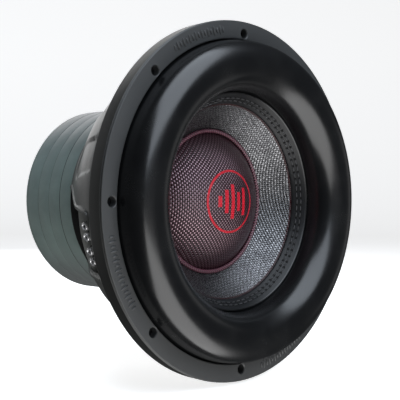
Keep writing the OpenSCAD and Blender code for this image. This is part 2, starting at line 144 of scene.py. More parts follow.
def joined(name, pieces):  # makes one piece out of several
    work = bmesh.new()
    materials = []
    for piece in pieces:
        first = len(work.faces)
        work.from_mesh(piece.data)
        work.faces.ensure_lookup_table()
        for face in work.faces[first:]:
            slot = piece.data.materials[min(face.material_index, len(piece.data.materials) - 1)]
            if slot not in materials:
                materials.append(slot)
            face.material_index = materials.index(slot)
    mesh = bpy.data.meshes.new(name)
    work.to_mesh(mesh)
    work.free()
    for material in materials:
        mesh.materials.append(material)
    for piece in pieces:
        bpy.data.objects.remove(piece)
    whole = bpy.data.objects.new(name, mesh)
    scene.collection.objects.link(whole)
    return whole


def frozen(piece):  # takes the result of the modifiers as the piece's own mesh
    ready = piece.evaluated_get(bpy.context.evaluated_depsgraph_get())
    mesh = bpy.data.meshes.new_from_object(ready)
    piece.modifiers.clear()
    piece.data = mesh
    return piece


def cutWith(piece, cutters, sharp=30):  # subtracts the cutters and removes them
    for cutter in cutters:
        cut = piece.modifiers.new("cut", "BOOLEAN")
        cut.operation, cut.solver, cut.object = "DIFFERENCE", "EXACT", cutter
    frozen(piece)
    for cutter in cutters:
        bpy.data.objects.remove(cutter)
    piece.data.shade_smooth()
    piece.data.set_sharp_from_angle(angle=math.radians(sharp))
    return piece


def place(piece, body, slot, *nodes):
    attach(piece, body)
    if nodes:
        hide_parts(*nodes)
    return piece


# node trees

class Num:  # a number socket that can stand in a sum
    def __init__(self, net, socket):
        self.net, self.socket = net, socket

    def __add__(self, other):
        return self.net.math("ADD", self, other)

    def __sub__(self, other):
        return self.net.math("SUBTRACT", self, other)

    def __rsub__(self, other):
        return self.net.math("SUBTRACT", other, self)

    def __mul__(self, other):
        return self.net.math("MULTIPLY", self, other)

    def __truediv__(self, other):
        return self.net.math("DIVIDE", self, other)

    def __pow__(self, other):
        return self.net.math("POWER", self, other)

    def __neg__(self):
        return self.net.math("MULTIPLY", self, -1)

    def __abs__(self):
        return self.net.math("ABSOLUTE", self)

    __radd__ = __add__
    __rmul__ = __mul__


class Net:  # a node tree being wired
    def __init__(self, tree):
        self.tree = tree

    def link(self, socket, value):
        if isinstance(value, Num):
            value = value.socket
        if isinstance(value, bpy.types.NodeSocket):
            self.tree.links.new(value, socket)
        else:
            socket.default_value = value

    def node(self, kind, settings=None, sockets=None):
        made = self.tree.nodes.new(kind)
        for key, value in (settings or {}).items():
            setattr(made, key, value)
        for key, value in (sockets or {}).items():
            self.link(made.inputs[key], value)
        return made

    def geo(self, kind, sockets=None):  # the first output of a new geometry node
        return self.node("GeometryNode" + kind, None, sockets).outputs[0]

    def math(self, kind, *values):
        return Num(self, self.node("ShaderNodeMath", {"operation": kind},
                                   dict(enumerate(values))).outputs[0])

    def mix(self, factor, a, b):
        a, b = [(*c, 1.0) if isinstance(c, tuple) and len(c) == 3 else c for c in (a, b)]
        made = self.node("ShaderNodeMix", {"data_type": "RGBA"}, {0: factor, 6: a, 7: b})
        return made.outputs[2]

    def parts(self, vector):
        made = self.node("ShaderNodeSeparateXYZ", None, {0: vector})
        return [Num(self, output) for output in made.outputs]

    def smooth(self, value, low, high):
        made = self.node("ShaderNodeMapRange", {"interpolation_type": "SMOOTHSTEP"},
                         {0: value, 1: low, 2: high})
        return Num(self, made.outputs[0])


class Finish(Net):  # a material being made, with places in millimetres from the origin
    def __init__(self, name, base, roughness, metallic=0.0, **constants):
        self.material = bpy.data.materials.new(name)
        self.material.use_nodes = True
        super().__init__(self.material.node_tree)
        self.shader = self.tree.nodes["Principled BSDF"]
        self.base = (*base, 1.0)
        self.shader.inputs["Base Color"].default_value = self.base
        self.shader.inputs["Roughness"].default_value = roughness
        self.shader.inputs["Metallic"].default_value = metallic
        for key, value in constants.items():
            self.shader.inputs[key.replace("_", " ")].default_value = value
        objectPlace = self.node("ShaderNodeTexCoord").outputs["Object"]
        self.place = self.node("ShaderNodeVectorMath", {"operation": "SCALE"},
                               {0: objectPlace, "Scale": 1000.0}).outputs[0]
        self.x, self.y, self.z = self.parts(self.place)

    def noise(self, scale, detail=3.0, stretch=None, roughness=0.5):
        place = self.place
        if stretch:
            place = self.node("ShaderNodeVectorMath", {"operation": "MULTIPLY"},
                              {0: place, 1: stretch}).outputs[0]
        made = self.node("ShaderNodeTexNoise", None, {
            "Vector": place, "Scale": scale, "Detail": detail, "Roughness": roughness})
        return Num(self, made.outputs[0])

    def colour(self, value):
        self.link(self.shader.inputs["Base Color"], value)

    def rough(self, value):
        self.link(self.shader.inputs["Roughness"], value)

    def metal(self, value):
        self.link(self.shader.inputs["Metallic"], value)

    def bump(self, height, strength, distance):
        made = self.node("ShaderNodeBump", None, {
            "Height": height, "Strength": strength, "Distance": distance * mm})
        before = self.shader.inputs["Normal"]
        if before.is_linked:
            self.link(made.inputs["Normal"], before.links[0].from_socket)
        self.link(before, made.outputs[0])

    def radius(self):
        return self.math("SQRT", self.x * self.x + self.z * self.z)

    def turn(self):  # the angle round the speaker's axis
        return self.math("ARCTAN2", self.z, self.x)


# sizes that the finishes share with the pieces
sewing = dict(count=89, inner=90.7, outer=92.9)
trimSizes = dict(outer=160.0, inner=143.5, front=15.8, holes=8, pcd=298.0, hole=4.2, segments=320)
clothSizes = dict(conePitch=1.9, coneTurn=8.0, coneDepth=0.08, capPitch=1.75, capDepth=0.14,
                  neck=38.4, edge=95.9, wovenFrom=64.0, redEdge=86.6, wovenTo=88.5,
                  slope=1.13, seatRadius=66.65, seatHeight=-25.0, thick=2.2)
motorSizes = dict(radius=90.5, depth=115.5, magnet=17.0, end=187.0, plate=20.5, pole=37.0, vent=14.0)


# finishes

def rollRubber():
    skin = Finish("rollRubber", (0.0028, 0.003, 0.0034), 0.25)
    cloud = skin.noise(0.035, 4.0)
    fine = skin.noise(2.2, 2.0)
    skin.rough(0.19 + cloud * 0.09 + fine * 0.04)
    skin.colour(skin.mix(skin.smooth(cloud, 0.4, 0.7), skin.base, (0.0045, 0.0047, 0.005)))
    skin.bump(fine, 0.25, 0.05)
    skin.bump(cloud, 0.3, 0.2)
    return skin.material


def landRubber():  # the flat part that is sewn to the cone, with a needle hole between stitches
    skin = Finish("landRubber", (0.0032, 0.0034, 0.0038), 0.36, 0.0, Specular_IOR_Level=0.26)
    grain, radius = skin.noise(1.8, 3.0), skin.radius()
    between = skin.smooth(-skin.math("COSINE", skin.turn() * sewing["count"]), 0.55, 0.8)
    inner = 1 - skin.smooth(abs(radius - sewing["inner"]), 0.5, 0.8)
    outer = 1 - skin.smooth(abs(radius - sewing["outer"]), 0.5, 0.8)
    hole = between * skin.math("MAXIMUM", inner, outer)
    rubber = skin.mix(grain, (0.0035, 0.0037, 0.0042), (0.007, 0.0074, 0.0082))
    # painted shade: the needle holes are painted near black inside
    skin.colour(skin.mix(hole, rubber, (0.0005, 0.0005, 0.0005)))
    skin.rough(0.33 + grain * 0.1 + hole * 0.4)
    skin.bump(grain * 0.2 - hole, 0.8, 0.5)
    return skin.material


def trimRubber():
    skin = Finish("trimRubber", (0.027, 0.031, 0.037), 0.5)
    cloud, grain = skin.noise(0.03, 3.0), skin.noise(1.6, 4.0, roughness=0.65)
    # the side of the ring is a little browner and shinier than its face
    side = skin.smooth(skin.radius(), trimSizes["outer"] - 1, trimSizes["outer"] - 0.2)
    face = skin.mix(cloud, (0.016, 0.017, 0.0175), (0.024, 0.025, 0.0255))
    skin.colour(skin.mix(side, face, (0.012, 0.0125, 0.0115)))
    skin.rough(0.46 + grain * 0.12 - side * 0.08)
    skin.bump(grain, 0.4, 0.06)
    return skin.material


def castCoat(name, tint):
    skin = Finish(name, tint, 0.4, 0.1)
    cloud, peel = skin.noise(0.04, 4.0), skin.noise(0.9, 3.0)
    dark, light = [tuple(c * share for c in tint) + (1,) for share in (0.86, 1.15)]
    skin.colour(skin.mix(cloud, dark, light))
    skin.rough(0.32 + peel * 0.14)
    skin.bump(peel, 0.35, 0.12)
    return skin.material


def motorCoat(name, tint):
    skin = Finish(name, tint, 0.42, 0.1)
    cloud = skin.noise(0.028, 5.0, roughness=0.6)
    brushed = skin.noise(0.35, 3.0, stretch=(0.25, 6.0, 0.25))
    dark, light = [tuple(c * share for c in tint) + (1,) for share in (0.88, 1.14)]
    coat = skin.mix(skin.smooth(cloud, 0.3, 0.7), dark, light)
    # painted light: greyer towards the top and bottom, standing for how the light falls there, with dark
    # seams between the rings and a black front face
    away = skin.smooth(abs(skin.z), 25.0, 88.0)
    coat = skin.mix(away * 0.85, coat, (0.092, 0.09, 0.092))
    fromFront = skin.y - motorSizes["depth"]
    offSeam = skin.math("PINGPONG", fromFront, motorSizes["magnet"] / 2)
    deep = 1 - skin.smooth(abs(fromFront - motorSizes["magnet"]), 2.0, 3.0)
    seam = (1 - skin.smooth(offSeam, 0.2, 0.6)) * (0.4 + deep * 0.55)
    face = 1 - skin.smooth(fromFront, 0.1, 0.25)
    black = skin.math("MAXIMUM", seam, face)
    skin.colour(skin.mix(black, coat, (0.003, 0.003, 0.003)))
    skin.rough(0.36 + brushed * 0.14 + black * 0.3)
    skin.bump(brushed, 0.2, 0.05)
    return skin.material


def plainWeave(skin, pitch, turn=0.0):
    # height of a plain weave in the speaker's own plane, and which thread is on top
    c, s = math.cos(turn) * math.pi / pitch, math.sin(turn) * math.pi / pitch
    across = skin.math("COSINE", skin.x * c + skin.z * s)
    along = skin.math("COSINE", skin.z * c - skin.x * s)
    onTop = skin.math("GREATER_THAN", across * along, 0.0)
    sharpA, sharpB = abs(across), abs(along)
    first = sharpA * (sharpB + 0.001) ** 0.35
    second = sharpB * (sharpA + 0.001) ** 0.35
    return onTop * first + (1 - onTop) * second, onTop


def glassWeave():
    skin = Finish("glassWeave", (0.02, 0.02, 0.021), 0.3, 0.0, Specular_IOR_Level=0.3)
    height, onTop = plainWeave(skin, clothSizes["conePitch"], math.radians(clothSizes["coneTurn"]))
    speck, cloud = skin.noise(1.3, 2.0), skin.noise(0.06, 3.0)
    glint = skin.smooth(speck, 0.36, 0.66)
    threads = skin.mix(glint, (0.03, 0.03, 0.032), (0.36, 0.36, 0.372))
    threads = skin.mix((1 - onTop) * 0.45, threads, (0.03, 0.03, 0.032))
    threads = skin.mix(skin.smooth(cloud, 0.45, 0.65) * 0.3, threads, (0.02, 0.02, 0.022))
    raised = skin.smooth(height, 0.12, 0.62)
    # painted shade: the low gaps between the threads are painted near black
    lit = skin.mix(raised, (0.0015, 0.0015, 0.0018), threads)
    # a dark red thread runs round the edge of the cloth
    edge = skin.smooth(skin.radius(), clothSizes["redEdge"], clothSizes["redEdge"] + 0.6)
    skin.colour(skin.mix(edge, lit, (0.018, 0.001, 0.002)))
    skin.metal(raised * (1 - edge))
    skin.rough(0.2 + speck * 0.16)
    skin.bump(height, 1.0, 0.2)
    skin.bump(speck, 0.6, 0.22)
    return skin.material


# the print on the cap: a ring with level bars in it
mark = dict(ring=27.6, line=1.0, barPitch=7.6, barHalf=2.1, heights=(5.0, 10.5, 15.5, 8.5, 12.5),
            ink=(0.42, 0.004, 0.016))


def inked(skin, distance, half, soft):  # 1 up to half, fading to 0 beyond it
    return 1 - skin.smooth(distance, half - soft, half + soft)


def capWeave():
    skin = Finish("capWeave", (0.05, 0.01, 0.018), 0.3, 0.0, Specular_IOR_Level=0.25)
    height, onTop = plainWeave(skin, clothSizes["capPitch"])
    speck = skin.noise(0.9, 2.0)
    red = skin.mix(speck, (0.012, 0.0008, 0.003), (0.03, 0.002, 0.008))
    pale = skin.mix(speck, (0.16, 0.1, 0.118), (0.26, 0.18, 0.205))
    raised = skin.smooth(height, 0.15, 0.7)
    # painted shade: the low gaps between the threads are painted near black
    cloth = skin.mix(raised, (0.003, 0.0005, 0.001), skin.mix(onTop, red, pale))
    ink = inked(skin, abs(skin.radius() - mark["ring"]), mark["line"], 0.25)
    for i, half in enumerate(mark["heights"]):
        wide = inked(skin, abs(skin.x - (i - 2) * mark["barPitch"]), mark["barHalf"], 0.25)
        ink = skin.math("MAXIMUM", ink, wide * inked(skin, abs(skin.z), half, 0.3))
    skin.colour(skin.mix(ink * (0.78 + height * 0.22), cloth, mark["ink"]))
    skin.metal(raised * onTop * (1 - ink))
    skin.rough(0.24 + speck * 0.12)
    skin.bump(height, 1.0, 0.25)
    return skin.material


def rimWeave():
    skin = Finish("rimWeave", (0.14, 0.02, 0.045), 0.42, 0.0, Coat_Weight=0.1, Coat_Roughness=0.3)
    turn = skin.turn() * 150
    slant = skin.math("SINE", turn + skin.radius() * 1.7)
    cross = skin.math("SINE", turn - skin.radius() * 1.7)
    threads = skin.mix(skin.smooth(slant, -0.3, 0.5), (0.004, 0.0004, 0.001), (0.075, 0.006, 0.02))
    threads = skin.mix(skin.smooth(cross, 0.35, 0.9), threads, (0.15, 0.06, 0.085))
    skin.colour(threads)
    skin.bump(slant * 0.5 + cross * 0.5, 0.7, 0.3)
    return skin.material


def threadFinish():
    skin = Finish("waxedThread", (0.012, 0.012, 0.013), 0.5)
    twist = skin.math("SINE", (skin.x + skin.z + skin.y) * 9.0)
    skin.rough(0.42 + twist * 0.1)
    # painted shade: the thread is painted darker in the grooves of its twist
    skin.colour(skin.mix(twist * 0.5 + 0.5, (0.01, 0.01, 0.012), (0.045, 0.046, 0.05)))
    skin.bump(twist, 0.5, 0.1)
    return skin.material


def mouldedPlastic():
    skin = Finish("mouldedPlastic", (0.012, 0.012, 0.013), 0.4)
    grain = skin.noise(2.6, 3.0)
    skin.rough(0.34 + grain * 0.14)
    skin.colour(skin.mix(grain, (0.009, 0.009, 0.01), (0.018, 0.018, 0.019)))
    skin.bump(grain, 0.3, 0.05)
    return skin.material


def metalFinish(name, base, rough, scratch=3.0, stretch=(1, 1, 1), metallic=1.0):
    skin = Finish(name, base, rough, metallic)
    lines, cloud = skin.noise(scratch, 3.0, stretch=stretch), skin.noise(0.15, 3.0)
    dark = tuple(c * 0.8 for c in base) + (1,)
    skin.colour(skin.mix(cloud, dark, skin.base))
    skin.rough(rough - 0.05 + lines * 0.12)
    skin.bump(lines, 0.2, 0.03)
    return skin.material


def woundWire():
    skin = Finish("woundWire", (0.42, 0.16, 0.06), 0.32, 0.85, Coat_Weight=0.5)
    turnReliefAndShade = abs(skin.math("SINE", skin.y * (math.pi / 0.55)))
    # painted shade: the wire is painted darker in the grooves between its turns
    skin.colour(skin.mix(turnReliefAndShade, (0.12, 0.035, 0.012), (0.5, 0.2, 0.08)))
    skin.bump(turnReliefAndShade, 0.8, 0.25)
    return skin.material


def formerSheet():
    skin = Finish("formerSheet", (0.022, 0.02, 0.018), 0.4)
    height = skin.math("SINE", skin.y * 4.0) * skin.math("SINE", skin.turn() * 150)
    # painted shade: the sheet's low places are painted darker
    skin.colour(skin.mix(height * 0.5 + 0.5, (0.014, 0.013, 0.012), (0.035, 0.032, 0.028)))
    skin.bump(height, 0.4, 0.08)
    return skin.material


def spiderCloth():
    skin = Finish("spiderCloth", (0.28, 0.19, 0.075), 0.6)
    height, onTop = plainWeave(skin, 1.5)
    cloud = skin.noise(0.08, 4.0)
    threads = skin.mix(onTop, (0.2, 0.125, 0.045), (0.34, 0.23, 0.095))
    threads = skin.mix(skin.smooth(cloud, 0.35, 0.7) * 0.5, threads, (0.16, 0.095, 0.035))
    # painted shade: the low gaps between the threads are painted dark
    skin.colour(skin.mix(skin.smooth(height, 0.1, 0.5), (0.06, 0.035, 0.014), threads))
    skin.rough(0.5 + cloud * 0.2)
    skin.bump(height, 0.7, 0.25)
    return skin.material


def gluePaste():
    skin = Finish("gluePaste", (0.012, 0.012, 0.012), 0.25)
    lumps = skin.noise(0.5, 3.0)
    skin.rough(0.18 + lumps * 0.2)
    skin.colour(skin.mix(lumps, (0.008, 0.008, 0.008), (0.022, 0.021, 0.02)))
    skin.bump(lumps, 0.6, 0.5)
    return skin.material


def conePaper():
    skin = Finish("conePaper", (0.02, 0.02, 0.021), 0.75)
    pulp, cloud = skin.noise(0.8, 5.0, roughness=0.7), skin.noise(0.06, 3.0)
    skin.colour(skin.mix(pulp, (0.012, 0.012, 0.013), (0.035, 0.034, 0.034)))
    skin.rough(0.65 + cloud * 0.2)
    skin.bump(pulp, 0.6, 0.3)
    return skin.material


print("finishes")
finishes = {
    "roll": rollRubber(), "land": landRubber(), "trim": trimRubber(),
    "cast": castCoat("castCoat", (0.078, 0.08, 0.075)),
    "panel": castCoat("panelCoat", (0.2, 0.205, 0.195)),
    "magnet": motorCoat("magnetCoat", (0.19, 0.25, 0.234)),
    "backPlate": motorCoat("backPlateCoat", (0.183, 0.241, 0.227)),
    "glass": glassWeave(), "cap": capWeave(), "rim": rimWeave(),
    "thread": threadFinish(), "plastic": mouldedPlastic(), "paper": conePaper(),
    "chrome": metalFinish("polishedChrome", (0.78, 0.78, 0.79), 0.2, metallic=0.6),
    "brass": metalFinish("platedBrass", (0.55, 0.4, 0.16), 0.28),
    "steel": metalFinish("turnedSteel", (0.3, 0.3, 0.3), 0.38, 1.2, (0.2, 6, 0.2)),
    "blackSteel": metalFinish("blackOxide", (0.03, 0.03, 0.032), 0.4, 1.5),
    "zinc": metalFinish("zincScrew", (0.55, 0.55, 0.54), 0.3, 2.0),
    "aluminium": metalFinish("turnedAluminium", (0.7, 0.7, 0.72), 0.3, 1.0, (0.2, 6, 0.2)),
    "tinsel": metalFinish("tinselBraid", (0.56, 0.36, 0.18), 0.36, 5.0),
    "solder": metalFinish("solder", (0.5, 0.5, 0.48), 0.35, 0.8),
    "wire": woundWire(), "former": formerSheet(), "spider": spiderCloth(), "glue": gluePaste(),
}

# surround
surroundSizes = dict(rollOuter=142.5, lip=98.4, rise=28.0, footHeight=12.6, lipHeight=10.9,
                     skew=1.75, thickness=2.2, segments=288, steps=44, landEdge=96.0,
                     fixedFrom=141.5, movingFrom=99.5)


def rollLine(inset):  # the roll's section, from the flange to the cone
    s = surroundSizes
    middle, half = (s["rollOuter"] + s["lip"]) / 2, (s["rollOuter"] - s["lip"]) / 2
    line = []
    for i in range(s["steps"] + 1):
        t = math.pi * i / s["steps"]
        cosine, sine = math.cos(t), max(math.sin(t), 0.0)
        across = math.copysign(abs(cosine) ** 0.79, cosine)
        base = s["lipHeight"] + (s["footHeight"] - s["lipHeight"]) * (1 + across) / 2
        line.append((middle + (half - inset) * across + s["skew"] * sine ** 2,
                     base + (s["rise"] - inset) * sine ** 0.72))
    return line


def makeSurround():
    s = surroundSizes
    outside = [(151.4, 7.15), (151.4, 8.85), (143.4, 8.85), (142.7, 10.2)] + rollLine(0)
    outside += [(98.3, 10.2), (98.0, 10.6), (97.6, 11.2), (96.9, 11.35), (96.1, 10.75), (95.2, 9.7),
                (93.0, 6.8), (90.9, 3.9), (89.1, 1.7), (88.3, 0.7), (87.8, -0.3), (87.9, -0.8)]
    inside = [(96.4, 8.7)] + rollLine(s["thickness"])[::-1] + [(s["rollOuter"] - s["thickness"], 7.15)]
    piece = turned("surroundRoll", outside + inside, finishes["roll"], s["segments"], sharp=50)
    piece.data.materials.append(finishes["land"])
    for face in piece.data.polygons:
        if math.hypot(face.center.x, face.center.z) < s["landEdge"] * mm and face.normal.y < 0:
            face.material_index = 1
    return piece


def blendRound(piece, outer, inner):  # bakes the piece's placement into its mesh; the places at outer and inner are worked out and not used
    spot(outer, 0)
    spot(inner, 0)
    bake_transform(piece)


surround = makeSurround()
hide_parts("surround")
blendRound(surround, surroundSizes["fixedFrom"], surroundSizes["movingFrom"])
print("surround made")

# cone and cap
capSizes = dict(apex=4.2, base=62.5, baseHeight=-25.2, thick=1.2, segments=540, rings=102,
                bead=64.7, beadRadius=1.95, beadHeight=-24.2, strands=75)


def weaveHeight(x, z, pitch, turn=0.0):  # the same plain weave as in the finishes
    c, s = math.cos(turn) * math.pi / pitch, math.sin(turn) * math.pi / pitch
    across, along = np.cos(x * c + z * s), np.cos(z * c - x * s)
    first = np.abs(across) * (np.abs(along) + 0.001) ** 0.35
    second = np.abs(along) * (np.abs(across) + 0.001) ** 0.35
    return np.where(across * along > 0, first, second)


def makeCone():
    s = clothSizes
    segments = 1020
    plain = np.linspace(s["neck"], s["wovenFrom"] - 1, 8)
    front = np.concatenate([plain, np.linspace(s["wovenFrom"], s["wovenTo"], 60), [91.0, s["edge"]]])
    back = np.linspace(s["edge"], s["neck"], 12)
    radii = np.concatenate([front, back])
    rise = s["seatHeight"] + s["slope"] * (radii - s["seatRadius"])
    rise[len(front):] -= s["thick"]
    places = ringPoints(np.stack([radii, rise], 1), segments) / mm
    index = np.arange(len(places)) % len(radii)
    woven = (index >= len(plain)) & (index < len(front) - 2)
    lift = weaveHeight(places[:, 0], places[:, 2], s["conePitch"], math.radians(s["coneTurn"]))
    tilt = math.atan(s["slope"])
    rounds = np.hypot(places[:, 0], places[:, 2])
    push = np.where(woven, (lift - 0.5) * s["coneDepth"], 0)
    places[:, 1] -= push * math.cos(tilt)
    places[:, 0] -= push * math.sin(tilt) * places[:, 0] / rounds
    places[:, 2] -= push * math.sin(tilt) * places[:, 2] / rounds
    piece = meshPiece("wovenCone", places * mm, gridFaces(segments, len(radii)), finishes["glass"], 70)
    piece.data.materials.append(finishes["paper"])
    for face in piece.data.polygons:
        if face.normal.y > 0:
            face.material_index = 1
    return piece


def makeCap():
    s = capSizes
    base, low = s["base"], s["baseHeight"]
    ball = (base ** 2 + (s["apex"] - low) ** 2) / 2 / (s["apex"] - low)
    centreHeight = s["apex"] - ball
    radii = np.concatenate([[0.0], np.linspace(0.6, base, s["rings"])])
    outer = centreHeight + np.sqrt(ball ** 2 - radii ** 2)
    under = radii[::-4]
    inner = centreHeight + np.sqrt(np.maximum((ball - s["thick"]) ** 2 - under ** 2, 1))
    rim = [(base + 0.9, low - 0.3), (s["bead"], low - 0.4), (s["bead"], low - 1.0), (base - 0.2, low - 1.1)]
    profile = np.concatenate([np.stack([radii, outer], 1), rim, np.stack([under, inner], 1)[1:]])
    places = ringPoints(profile, s["segments"]) / mm
    index = np.arange(len(places)) % len(profile)
    lift = weaveHeight(places[:, 0], places[:, 2], clothSizes["capPitch"])
    outward = (places - np.array([0.0, -centreHeight, 0.0])) / ball
    push = np.where(index < len(radii), (lift - 0.5) * clothSizes["capDepth"], 0)
    places += outward * push[:, None]
    faces = gridFaces(s["segments"], len(profile), closedColumns=False)
    return meshPiece("wovenCap", places * mm, faces, finishes["cap"], 60, merge=2e-6)


def makeCapRim():  # the cap's rolled edge, as a braid
    s = capSizes
    segments, around = 1000, 20
    turns = np.repeat(np.linspace(0, 2 * math.pi, segments, endpoint=False), around)
    sides = np.tile(np.linspace(0, 2 * math.pi, around, endpoint=False), segments)
    strands = np.sin(turns * s["strands"] + sides * 2) * np.sin(turns * s["strands"] - sides * 2)
    thick = s["beadRadius"] * (0.94 + 0.06 * strands)
    radius = s["bead"] + thick * np.cos(sides)
    height = s["beadHeight"] + thick * np.sin(sides)
    places = np.stack([radius * np.cos(turns), -height, radius * np.sin(turns)], 1)
    return meshPiece("capRim", places * mm, gridFaces(segments, around), finishes["rim"], 80)


place(makeCone(), "moving_assembly", "glass_weave", "cone")
place(makeCap(), "moving_assembly", "red_weave", "dust_cap")
place(makeCapRim(), "moving_assembly", "red_weave")
print("cone and cap made")

# repeated things, by geometry nodes

def growTree(name, sizes):  # a geometry tree whose inputs are named sizes
    tree = bpy.data.node_groups.new(name, "GeometryNodeTree")
    tree.interface.new_socket("Geometry", in_out="OUTPUT", socket_type="NodeSocketGeometry")
    for key, value in sizes.items():
        kind = "NodeSocketInt" if isinstance(value, int) else "NodeSocketFloat"
        tree.interface.new_socket(key, in_out="INPUT", socket_type=kind)
    net = Net(tree)
    given = net.node("NodeGroupInput")
    return net, {key: Num(net, given.outputs[key]) for key in sizes}


def closeTree(net, geometry, material):
    whole = net.geo("RealizeInstances", {"Geometry": geometry})
    coat = net.geo("SetMaterial", {"Geometry": whole, "Material": material})
    net.link(net.node("NodeGroupOutput").inputs[0], coat)


def grown(name, net, sizes, sharp=40):  # runs a tree and keeps its result as a plain mesh
    piece = bpy.data.objects.new(name, bpy.data.meshes.new(name))
    scene.collection.objects.link(piece)
    grow = piece.modifiers.new("grow", "NODES")
    grow.node_group = net.tree
    for item in net.tree.interface.items_tree:
        if item.in_out == "INPUT":
            grow[item.identifier] = sizes[item.name]
    frozen(piece)
    piece.data.shade_smooth()
    piece.data.set_sharp_from_angle(angle=math.radians(sharp))
    return piece


def combine(net, x, y, z):
    return net.node("ShaderNodeCombineXYZ", None, {0: x, 1: y, 2: z}).outputs[0]


def onCircle(net, radius, turn, height):  # a place round the speaker's axis
    return combine(net, radius * net.math("COSINE", turn), -height, radius * net.math("SINE", turn))


def stitchTree(sizes):
    net, given = growTree("stitchRow", sizes)
    circle = net.geo("CurvePrimitiveCircle", {"Radius": given["radius"]})
    points = net.node("GeometryNodeCurveToPoints", {"mode": "COUNT"},
                      {"Curve": circle, "Count": given["count"]})
    bead = net.geo("MeshUVSphere", {"Segments": 8, "Rings": 7, "Radius": 1.0})
    thin = given["thread"] * 0.5
    shaped = net.geo("Transform", {
        "Geometry": bead, "Scale": combine(net, thin * 1.15, thin, given["length"] * 0.5)})
    row = net.geo("InstanceOnPoints", {
        "Points": points.outputs["Points"], "Instance": shaped, "Rotation": points.outputs["Rotation"]})
    stood = net.geo("Transform", {
        "Geometry": row, "Rotation": (math.pi / 2, 0, 0),
        "Translation": combine(net, 0.0, -given["height"], 0.0)})
    closeTree(net, stood, finishes["thread"])
    return net


stitchSizes = dict(radius=sewing["inner"] * mm, height=4.15 * mm, count=sewing["count"],
                   length=4.6 * mm, thread=1.0 * mm)
outerSizes = {**stitchSizes, "radius": sewing["outer"] * mm, "height": 7.15 * mm}
stitches = stitchTree(stitchSizes)
place(grown("stitchesInner", stitches, stitchSizes), "moving_assembly", "thread", "stitch_row_inner")
place(grown("stitchesOuter", stitches, outerSizes), "moving_assembly", "thread", "stitch_row_outer")
print("stitches sewn")


def spiderTree(sizes):  # a corrugated disc: a flat grid bent round the axis and waved
    net, given = growTree("corrugatedSpider", sizes)
    sheet = net.geo("MeshGrid", {"Size X": 1.0, "Size Y": 1.0, "Vertices X": 130, "Vertices Y": 181})
    here = net.parts(net.geo("InputPosition"))
    across, turn = here[0] + 0.5, here[1] * (2 * math.pi)
    radius = given["inner"] + (given["outer"] - given["inner"]) * across
    wave = (radius - given["waveStart"]) / (given["waveEnd"] - given["waveStart"])
    inWaves = net.math("COMPARE", net.math("MAXIMUM", net.math("MINIMUM", wave, 1.0), 0.0), wave, 1e-6)
    height = given["height"] + inWaves * given["depth"] * net.math(
        "SINE", wave * given["waves"] * (2 * math.pi))
    bent = net.geo("SetPosition", {"Geometry": sheet, "Position": onCircle(net, radius, turn, height)})
    seam = net.geo("MergeByDistance", {"Geometry": bent, "Distance": 1e-5})
    closeTree(net, seam, finishes["spider"])
    return net


def makeSpider(name, node, tree, sizes):
    piece = grown(name, tree, sizes)
    work = bmesh.new()
    work.from_mesh(piece.data)
    bmesh.ops.recalc_face_normals(work, faces=work.faces)
    work.to_mesh(piece.data)
    work.free()
    wall = piece.modifiers.new("wall", "SOLIDIFY")
    wall.thickness, wall.offset = spiderWall, 0.0
    frozen(piece)
    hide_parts(node)
    blendRound(piece, spiderFixed, spiderMoving)


spiderWall = 0.7 * mm
spiderFixed, spiderMoving = 93.0, 42.0  # glued down beyond the first, to the former within the second
spiderSizes = dict(inner=38.2 * mm, outer=103 * mm, waveStart=45 * mm, waveEnd=92 * mm,
                   waves=4.0, depth=3.2 * mm, height=-65.25 * mm)
spiders = spiderTree(spiderSizes)
makeSpider("spiderFrontCloth", "spider_front", spiders, spiderSizes)
makeSpider("spiderRearCloth", "spider_rear", spiders, {**spiderSizes, "height": -75.55 * mm})
print("spiders pressed")


def barTree(sizes):  # raised bars on arcs of the trim ring, long and short by turns
    net, given = growTree("raisedBars", sizes)
    line = net.geo("MeshLine", {"Count": given["count"] * given["groups"]})
    index = Num(net, net.geo("InputIndex"))
    group = net.math("FLOOR", index / given["count"])
    within = index - group * given["count"]
    turn = (given["first"] + group * (2 * math.pi) / given["groups"]
            + (within - (given["count"] - 1) * 0.5) * given["step"])
    spread = net.geo("SetPosition", {
        "Geometry": line, "Position": onCircle(net, given["radius"], turn, given["height"])})
    longer = net.math("MODULO", within, 2.0)
    bar = net.geo("MeshUVSphere", {"Segments": 12, "Rings": 6, "Radius": 1.0})
    bars = net.geo("InstanceOnPoints", {
        "Points": spread, "Instance": bar, "Rotation": combine(net, 0.0, -turn, 0.0),
        "Scale": combine(net, given["length"] * (0.32 + longer * 0.18), given["rise"],
                         given["width"] * 0.5)})
    closeTree(net, bars, finishes["trim"])
    return net


# trim ring
barSizes = dict(count=17, groups=4, first=math.radians(22.0), step=math.radians(1.45),
                radius=151.6 * mm, height=15.8 * mm, length=8.4 * mm, rise=1.0 * mm, width=2.2 * mm)


def drill(rings, angle, distance, segments=40):  # a cutter along the axis, from (height, radius) rings
    cx, cz = distance * math.cos(angle), distance * math.sin(angle)
    turns = np.linspace(0, 2 * math.pi, segments, endpoint=False)
    verts = [((cx + r * math.cos(t)) * mm, -h * mm, (cz + r * math.sin(t)) * mm)
             for h, r in rings for t in turns]
    last = (len(rings) - 1) * segments
    faces = gridFaces(len(rings), segments, closedRows=False)
    faces += [tuple(range(segments)), tuple(range(last, last + segments))]
    return meshPiece("drill", verts, faces, finishes["trim"])


def boltDrills(rings):
    s = trimSizes
    return [drill(rings, math.radians(90 + 360 / s["holes"] * i), s["pcd"] / 2) for i in range(s["holes"])]


